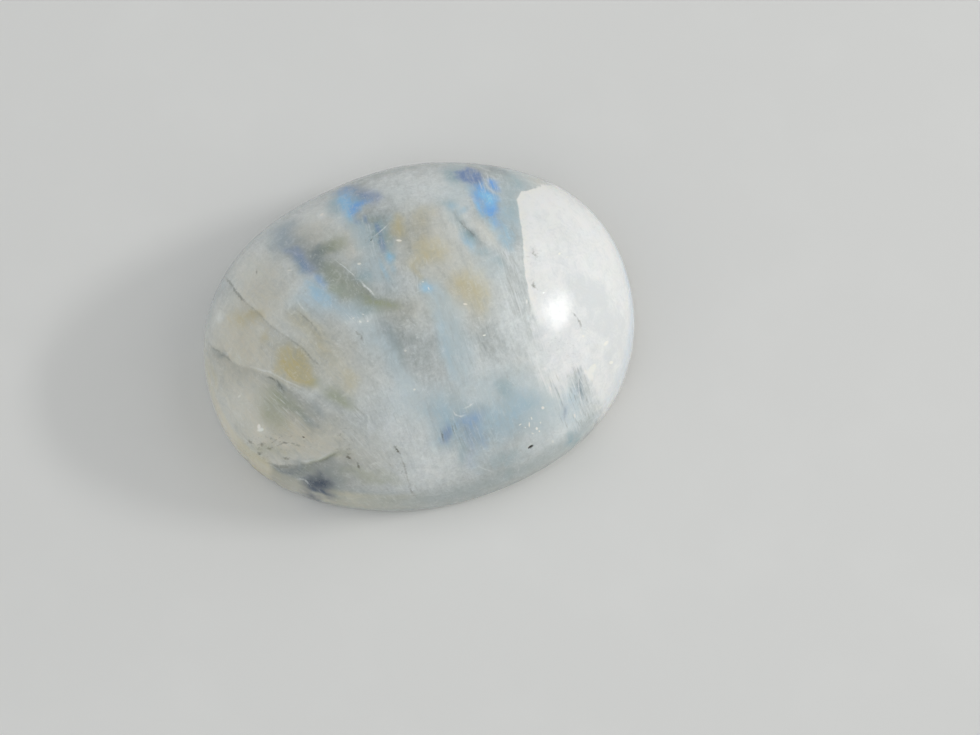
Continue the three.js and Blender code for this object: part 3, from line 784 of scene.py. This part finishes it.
class Shader:
    """Writes a material's nodes: each call adds one node and gives its output."""

    def __init__(self, name):
        self.material = bpy.data.materials.new(name)
        self.material.use_nodes = True
        self.tree = self.material.node_tree
        self.surface = self.tree.nodes["Principled BSDF"]

    def node(self, kind, **settings):
        made = self.tree.nodes.new(kind)
        for key, value in settings.items():
            setattr(made, key, value)
        return made

    def feed(self, socket, value):
        if isinstance(value, bpy.types.NodeSocket):
            self.tree.links.new(value, socket)
        elif value is not None:
            socket.default_value = value

    def math(self, operation, a, b=None, clamp=False):
        made = self.node("ShaderNodeMath", operation=operation, use_clamp=clamp)
        self.feed(made.inputs[0], a)
        self.feed(made.inputs[1], b)
        return made.outputs[0]

    def product(self, first, *others):
        for other in others:
            first = self.math("MULTIPLY", first, other)
        return first

    def total(self, first, *others):
        for other in others:
            first = self.math("ADD", first, other)
        return first

    def vector(self, operation, a, b=None):
        made = self.node("ShaderNodeVectorMath", operation=operation)
        self.feed(made.inputs[0], a)
        self.feed(made.inputs["Scale" if operation == "SCALE" else 1], b)
        return made.outputs["Value" if operation in ("DOT_PRODUCT", "LENGTH", "DISTANCE") else "Vector"]

    def ramp(self, value, low, high, out_low=0.0, out_high=1.0, smooth_ends=True):
        made = self.node("ShaderNodeMapRange", interpolation_type="SMOOTHSTEP" if smooth_ends else "LINEAR")
        for socket, fed in zip(made.inputs, (value, low, high, out_low, out_high)):
            self.feed(socket, fed)
        return made.outputs[0]

    def noise(self, place, scale, detail=3.0, roughness=0.5, distortion=0.0):
        """A noise stretched so that it swings from about -1 to 1."""
        made = self.node("ShaderNodeTexNoise")
        self.feed(made.inputs["Vector"], place)
        self.feed(made.inputs["Scale"], scale)
        self.feed(made.inputs["Detail"], detail)
        self.feed(made.inputs["Roughness"], roughness)
        self.feed(made.inputs["Distortion"], distortion)
        return self.ramp(made.outputs["Fac"], 0.25, 0.75, -1.0, 1.0, False)

    def mix(self, share, a, b):
        made = self.node("ShaderNodeMix", data_type="RGBA")
        self.feed(made.inputs[0], share)
        self.feed(made.inputs[6], a)
        self.feed(made.inputs[7], b)
        return made.outputs[2]

    def field(self, name):
        return self.node("ShaderNodeAttribute", attribute_name=name).outputs["Fac"]


# Tones of the stone, as they look on a screen
STONE_DIM = colour(160, 167, 165)
STONE_BRIGHT = colour(238, 242, 241)
STEP_DARK = colour(128, 133, 128)
TINTS = {
    "warm": colour(220, 214, 196),
    "cool": colour(190, 206, 211),
    "milk": colour(236, 238, 235),
    "slate": colour(134, 148, 156),
    "olive": colour(162, 168, 136),
    "ochre": colour(204, 190, 138),
    # teal, sky, violet, blue and glow are the painted blue sheen
    "teal": colour(148, 178, 186),
    "sky": colour(166, 204, 224),
    "violet": colour(122, 148, 192),
    "blue": colour(118, 180, 244),
    "glow": colour(160, 218, 252),
    "navy": colour(44, 66, 94),
}
# How unevenly the tints lie, where that is not the usual
USUAL_WISPINESS = 0.5
WISPINESS = {"warm": 0.35, "cool": 0.35, "sky": 0.65, "teal": 0.65, "milk": 0.7, "navy": 0.4}
WHITE = colour(248, 248, 246)
WHITE_SHADE = colour(230, 232, 232)
CREAM_LIP = colour(249, 246, 236)
# Painted rim light and shade: a warm glow, cool light along the far rim, far shade and shade on the near
# wall
PAINTED_GLOW_RIM_TINT = colour(242, 231, 196)
PAINTED_COOL_RIM_TINT = colour(178, 206, 232)
PAINTED_SHADE_RIM_TINT = colour(116, 130, 142)
PAINTED_NEAR_WALL_SHADE_TINT = colour(156, 168, 163)
CRACK_DARK = colour(120, 123, 114)
TICK_DARK = colour(98, 94, 76)
# Painted shade in the pits
PIT_SHADE = colour(40, 38, 32)
THREAD_WHITE = colour(238, 241, 240)
# Painted glints, and a few bright specks
GLINT_AND_SPECK_WHITE = colour(253, 251, 242)

TABLE_DIM = colour(229, 228, 225)
TABLE_BRIGHT = colour(231, 230, 227)
TABLE_ROUGHNESS = 0.75
TABLE_HALF_WIDTH = 600 * MM

# The stone's thin layers stand upright: how they are turned in the plan at its two ends, and where in x
# that changes
LEFT_LAYERS = radians(-60)
RIGHT_LAYERS = radians(-88)
LAYERS_CHANGE = (-6.0, -1.5)
# The small open pores are drawn out this way
PORE_TURN = radians(-14)
PORES_ACROSS = 9.0
PORES_ALONG = 4.5

# Even textures: scale, detail, roughness and distortion
EVEN_TEXTURES = {
    "clouds": (0.3, 4.0, 0.55, 0.6),
    "mottle": (1.6, 6.0, 0.65, 0.8),
    "cotton": (1.1, 8.0, 0.72, 1.4),
    "grain": (7.0, 3.0, 0.6, 0.0),
}
# Textures drawn out along the layers: scale across and along them, detail and distortion
STREAKED_TEXTURES = {
    "bands": (1.0, 0.14, 3.0, 0.3),
    "fine_streaks": (4.5, 0.55, 4.0, 0.6),
    "hairs": (11.0, 0.8, 2.0, 0.3),
    "fibres": (2.2, 0.9, 6.0, 1.6),
}
# How much of each texture is in the stone's tone, in the wisps that break up its colours, in the frayed
# edge of the white patch, in that patch's own tone, and in how uneven the lines and the gloss are
TONE_PARTS = {
    "clouds": 0.06, "bands": 0.08, "fibres": 0.13, "mottle": 0.08, "cotton": 0.13, "fine_streaks": 0.05,
    "grain": 0.11, "hairs": 0.03,
}
WISP_PARTS = {"fine_streaks": 0.35, "fibres": 0.45, "cotton": 0.5}
FRAY_PARTS = {"fine_streaks": 0.5, "bands": 0.25, "mottle": 0.35, "hairs": 0.25}
WHITE_PARTS = {"clouds": 0.25, "cotton": 0.5, "bands": 0.2, "grain": 0.2}
LINE_PARTS = {"grain": 0.7, "mottle": 0.6}
GLOSS_PARTS = {"mottle": 1.0, "grain": 1.0}

# How strongly each of these shows
# The next two are for the painted rim light and shade, and for the painted shade on the near wall
PAINTED_RIM_STRENGTHS = (0.4, 0.85)
NEAR_WALL_SHADE_STRENGTH = 0.5
WHITE_STRENGTH = 0.92
GREY_STRENGTH = 0.9
LIP_STRENGTH = 0.7
CLUMP_STRENGTH = 0.22
VEIL_STRENGTH = 0.38
WHITE_HAIR_STRENGTH = 0.6
DARK_HAIR_STRENGTH = 0.3
PORE_STRENGTH = 0.4
PIT_SHADE_STRENGTH = 0.95

# The polished surface. Heights of the bump are in millimetres.
GLOSS = (0.08, 0.17)
CRACK_ROUGHNESS = 0.6
PORE_ROUGHNESS = 0.7
CRACK_BUMP = -0.008
PORE_BUMP = -0.012
SPARKLE_BUMP = (0.0004, 0.0029)
SETTINGS = {
    "Subsurface Weight": 0.7,
    "Subsurface Radius": (1.0, 0.85, 0.7),
    "Subsurface Scale": 1.6 * MM,
    "IOR": 1.53,
    "Specular IOR Level": 0.35,
}


def along_layers(shader, place, turn, across, along):
    """The place measured across and along a set of upright layers, stretched for a streaky noise."""
    over = shader.vector("DOT_PRODUCT", place, (-sin(turn), cos(turn), 0.12))
    down = shader.vector("DOT_PRODUCT", place, (cos(turn), sin(turn), 0.0))
    height = shader.vector("DOT_PRODUCT", place, (0.0, 0.0, 1.0))
    streaked = shader.node("ShaderNodeCombineXYZ")
    shader.feed(streaked.inputs[0], shader.math("MULTIPLY", over, across))
    shader.feed(streaked.inputs[1], shader.math("MULTIPLY", down, along))
    shader.feed(streaked.inputs[2], shader.math("MULTIPLY", height, along))
    return streaked.outputs[0]


def streaks(shader, place, left_share, across, along, detail, distortion=0.3):
    """Noise drawn out along the layers, whose direction changes from the left to the right."""
    sides = [
        shader.noise(along_layers(shader, place, turn, across, along), 1.0, detail, 0.6, distortion)
        for turn in (RIGHT_LAYERS, LEFT_LAYERS)
    ]
    made = shader.node("ShaderNodeMix", data_type="FLOAT")
    for socket, fed in zip((0, 2, 3), (left_share, *sides)):
        shader.feed(made.inputs[socket], fed)
    return made.outputs[0]


def glint_and_speck_share(shader, place):
    """How much of the bright flecks, mostly painted glints, is at the place."""
    total = 0.0
    for fleck in GLINTS_AND_SPECKS:
        turn = radians(fleck.turn)
        offset = shader.vector("SUBTRACT", place, (fleck.x, fleck.y, 0.0))
        along = shader.vector("DOT_PRODUCT", offset, (cos(turn) / fleck.long, sin(turn) / fleck.long, 0.0))
        sideways = (-sin(turn) / fleck.wide, cos(turn) / fleck.wide, 0.0)
        across = shader.vector("DOT_PRODUCT", offset, sideways)
        reach = shader.total(shader.product(along, along), shader.product(across, across))
        share = shader.ramp(reach, 1.6, 0.2, 0.0, fleck.strength)
        total = shader.math("MAXIMUM", share, total)
    return shader.math("MULTIPLY", total, shader.field("top"))


def line_share(shader, family, unevenness):
    """How much of a family's lines is at the place: soft lines, uneven in width and strength."""
    width = shader.math("ABSOLUTE", shader.field(f"{family}_side"))
    line = shader.ramp(shader.math("MULTIPLY", width, unevenness), 1.9, 0.2)
    near = shader.ramp(shader.field(f"{family}_near"), 0.25, 0.12)
    strength = shader.field(f"{family}_strength")
    broken = shader.ramp(unevenness, 2.0, 0.6, 0.35, 1.0)
    return shader.product(line, near, strength, broken, shader.field("top"))


def stone_textures(shader, place, x):
    """The stone's textures, by name."""
    left_share = shader.ramp(x, LAYERS_CHANGE[1], LAYERS_CHANGE[0])
    textures = {name: shader.noise(place, *values) for name, values in EVEN_TEXTURES.items()}
    for name, values in STREAKED_TEXTURES.items():
        textures[name] = streaks(shader, place, left_share, *values)
    return textures


def blended(shader, textures, parts):
    """The sum of some textures, each times its part."""
    return shader.total(*(shader.product(textures[name], part) for name, part in parts.items()))


def tinted_stone(shader, textures, wisps, painted_rim_strength):
    """The milky stone with its tints, and its painted rim glow and painted rim shade."""
    milk = shader.product(shader.field("tone"), 0.5)
    tone = shader.total(0.5, milk, blended(shader, textures, TONE_PARTS))
    base = shader.mix(shader.ramp(tone, 0.0, 1.0, smooth_ends=False), STONE_DIM, STONE_BRIGHT)
    # Painted warm glow, painted far shade and painted shade on the near wall
    for rim, strength, tint in (
        ("painted_glow_rim", painted_rim_strength, PAINTED_GLOW_RIM_TINT), ("painted_shade_rim", painted_rim_strength, PAINTED_SHADE_RIM_TINT),
        ("painted_near_wall_shade", NEAR_WALL_SHADE_STRENGTH, PAINTED_NEAR_WALL_SHADE_TINT),
    ):
        base = shader.mix(shader.product(shader.field(rim), strength), base, tint)
    # Some of these tints are the painted blue sheen
    for family, tint in TINTS.items():
        spread = WISPINESS.get(family, USUAL_WISPINESS)
        uneven = shader.ramp(wisps, -0.7, 0.7, 1 - spread, 1 + spread, False)
        share = shader.math("MULTIPLY", shader.field(family), uneven, clamp=True)
        base = shader.mix(share, base, tint)
    return shader.mix(shader.field("step"), base, STEP_DARK)


def with_white_patch(shader, base, textures, x):
    """The white patch laid over the stone, with its frayed edge, its cream lip along the sharp one, and
    painted shade towards its right end.
    """
    edge = shader.field("white_edge")
    depth = shader.field("white")
    fray = shader.product(blended(shader, textures, FRAY_PARTS), edge, 1.2)
    inside = shader.math("DIVIDE", shader.total(depth, fray), edge)
    share = shader.product(shader.ramp(inside, -1.0, 1.0), WHITE_STRENGTH)
    tone = shader.total(
        blended(shader, textures, WHITE_PARTS),
        shader.product(shader.field("grey"), -GREY_STRENGTH),
        # Painted shade: the white darkens towards the right end
        shader.ramp(x, 7.5, 12.5, 0.15, -0.1),
    )
    white = shader.mix(shader.ramp(tone, -0.6, 0.5), WHITE_SHADE, WHITE)
    base = shader.mix(share, base, white)
    speckle = shader.ramp(textures["grain"], -0.7, 0.5, 0.3, 0.75)
    beside_edge = shader.ramp(depth, 0.55, 0.0)
    sharpness = shader.ramp(edge, 0.3, 0.1)
    lip = shader.product(beside_edge, share, sharpness, speckle, LIP_STRENGTH)
    return shader.mix(lip, base, CREAM_LIP)


def with_threads(shader, base, textures):
    """White clumps, hairs and veils, and dark hairs, over the whole stone."""
    hairs, mottle, threaded = textures["hairs"], textures["mottle"], shader.field("threaded")
    clumps = shader.product(shader.ramp(textures["cotton"], 0.15, 0.75), CLUMP_STRENGTH)
    base = shader.mix(clumps, base, THREAD_WHITE)
    white_hairs = shader.product(shader.ramp(hairs, 0.25, 0.75), threaded, WHITE_HAIR_STRENGTH)
    base = shader.mix(white_hairs, base, THREAD_WHITE)
    thin = shader.ramp(shader.math("ABSOLUTE", textures["fibres"]), 0.08, 0.0)
    veils = shader.product(thin, shader.ramp(mottle, -0.4, 0.6), VEIL_STRENGTH)
    base = shader.mix(veils, base, THREAD_WHITE)
    dark_hairs = shader.product(shader.ramp(hairs, -0.35, -0.8), threaded, DARK_HAIR_STRENGTH)
    return shader.mix(dark_hairs, base, CRACK_DARK)


def moonstone_material():
    """Milky feldspar with a polished surface: colour, scatter, gloss and fine relief."""
    shader = Shader("polished_moonstone")
    place = shader.vector("SCALE", shader.node("ShaderNodeTexCoord").outputs["Object"], 1 / MM)
    parts = shader.node("ShaderNodeSeparateXYZ")
    shader.feed(parts.inputs[0], place)
    x = parts.outputs["X"]
    textures = stone_textures(shader, place, x)
    wisps = blended(shader, textures, WISP_PARTS)
    painted_rim_strength = shader.ramp(wisps, -0.8, 0.8, *PAINTED_RIM_STRENGTHS, False)
    base = tinted_stone(shader, textures, wisps, painted_rim_strength)
    base = with_white_patch(shader, base, textures, x)
    # Painted cool light along the far rim
    base = shader.mix(shader.product(shader.field("painted_cool_rim_light"), painted_rim_strength), base, PAINTED_COOL_RIM_TINT)
    base = with_threads(shader, base, textures)

    dashes = shader.noise(along_layers(shader, place, PORE_TURN, PORES_ACROSS, PORES_ALONG), 1.0, 2.0, 0.5)
    pores = shader.product(shader.ramp(dashes, 0.4, 0.75), shader.field("pitted"), PORE_STRENGTH)
    uneven = shader.ramp(blended(shader, textures, LINE_PARTS), -0.6, 0.6, 0.6, 1.8, False)
    cracks = line_share(shader, "crack", uneven)
    # Painted shade in the deepest pits, darker with depth
    deep_pit_shade = shader.ramp(shader.field("pit"), 0.5, 1.0, 0.0, PIT_SHADE_STRENGTH)
    pit_shade = shader.product(deep_pit_shade, shader.field("top"))
    for share, tint in (
        (pores, TICK_DARK),
        (cracks, CRACK_DARK),
        (line_share(shader, "thread", uneven), THREAD_WHITE),
        (line_share(shader, "tick", uneven), TICK_DARK),
        (pit_shade, PIT_SHADE),
        # Painted glints and bright specks
        (glint_and_speck_share(shader, place), GLINT_AND_SPECK_WHITE),
    ):
        base = shader.mix(share, base, tint)

    inputs = shader.surface.inputs
    for name, value in SETTINGS.items():
        inputs[name].default_value = value
    shader.feed(inputs["Base Color"], base)
    gloss = shader.ramp(blended(shader, textures, GLOSS_PARTS), -1.0, 1.0, *GLOSS, False)
    dull = shader.math(
        "MAXIMUM", shader.product(cracks, CRACK_ROUGHNESS), shader.product(pores, PORE_ROUGHNESS)
    )
    shader.feed(inputs["Roughness"], shader.math("MAXIMUM", gloss, dull))

    sparkle = shader.noise(place, 4.0, 4.0, 0.9, 0.5)
    relief = shader.total(
        shader.product(sparkle, shader.ramp(shader.field("glitter"), 0.0, 1.0, *SPARKLE_BUMP)),
        shader.product(cracks, CRACK_BUMP),
        shader.product(pores, PORE_BUMP),
    )
    bump = shader.node("ShaderNodeBump")
    bump.inputs["Strength"].default_value = 1.0
    bump.inputs["Distance"].default_value = MM
    shader.feed(bump.inputs["Height"], relief)
    shader.feed(inputs["Normal"], bump.outputs["Normal"])
    return shader.material


def table_material():
    """A plain pale matt surface with the faintest unevenness."""
    shader = Shader("pale_table")
    place = shader.vector("SCALE", shader.node("ShaderNodeTexCoord").outputs["Object"], 1 / MM)
    tone = shader.noise(place, 0.15, 3.0)
    shader.feed(shader.surface.inputs["Base Color"], shader.mix(tone, TABLE_DIM, TABLE_BRIGHT))
    shader.surface.inputs["Roughness"].default_value = TABLE_ROUGHNESS
    return shader.material


# The scene round the stone

# The studio lamps: degrees round from the photograph's right towards its far side, degrees above the table,
# distance, width and height in metres, watts and colour
SOFTBOXES = {
    "key": (9, 30, 0.46, 0.6, 0.6, 1.01, (1.0, 1.0, 0.99)),
    "glint": (9, 30, 0.45, 0.1, 0.03, 0.46, (1.0, 1.0, 0.99)),
    "fill": (200, 50, 0.7, 1.0, 1.0, 2.5, (0.95, 0.98, 1.0)),
}
LAMPS_AIM = Vector((0, 0, 4 * MM))
STUDIO_COLOUR = (0.95, 0.98, 1.0, 1.0)
STUDIO_STRENGTH = 0.275


def view_axes():
    """The camera's right and away directions along the table."""
    right = Vector((cos(CAMERA_TURN), sin(CAMERA_TURN), 0))
    away = Vector((-sin(CAMERA_TURN), cos(CAMERA_TURN), 0))
    return right, away


def look_at(thing, place, target):
    """Places a camera or lamp and points it."""
    thing.location = place
    thing.rotation_euler = (target - place).to_track_quat("-Z", "Y").to_euler()


def add_camera():
    right, away = view_axes()
    target = right * AIM_RIGHT + away * AIM_AWAY
    back = -away * cos(CAMERA_ELEVATION) + Vector((0, 0, sin(CAMERA_ELEVATION)))
    camera = bpy.data.objects.new("camera", bpy.data.cameras.new("camera"))
    camera.data.sensor_width = SENSOR_WIDTH
    camera.data.lens = LENS
    camera.data.clip_start = 10 * MM
    look_at(camera, target + back * CAMERA_DISTANCE, target)
    bpy.context.scene.collection.objects.link(camera)
    bpy.context.scene.camera = camera


def add_table():
    mesh = bpy.data.meshes.new("table")
    half = TABLE_HALF_WIDTH
    corners = [(-half, -half, 0), (half, -half, 0), (half, half, 0), (-half, half, 0)]
    mesh.from_pydata(corners, [], [(0, 1, 2, 3)])
    mesh.materials.append(table_material())
    table = bpy.data.objects.new("table", mesh)
    bpy.context.scene.collection.objects.link(table)


def add_softbox(name, turn, elevation, distance, width, height, watts, tint):
    right, away = view_axes()
    turn, elevation = radians(turn), radians(elevation)
    level = right * cos(turn) + away * sin(turn)
    towards_lamp = level * cos(elevation) + Vector((0, 0, sin(elevation)))
    lamp = bpy.data.lights.new(name, "AREA")
    lamp.shape = "RECTANGLE"
    lamp.size = width
    lamp.size_y = height
    lamp.energy = watts
    lamp.color = tint
    softbox = bpy.data.objects.new(name, lamp)
    look_at(softbox, towards_lamp * distance, LAMPS_AIM)
    bpy.context.scene.collection.objects.link(softbox)


def add_lights():
    for name, values in SOFTBOXES.items():
        add_softbox(name, *values)
    world = bpy.data.worlds.new("studio")
    world.use_nodes = True
    background = world.node_tree.nodes["Background"]
    background.inputs["Color"].default_value = STUDIO_COLOUR
    background.inputs["Strength"].default_value = STUDIO_STRENGTH
    bpy.context.scene.world = world


bpy.context.scene.view_settings.view_transform = "Standard"
add_camera()
stone = build_stone()
stone.data.materials.append(moonstone_material())
add_table()
add_lights()
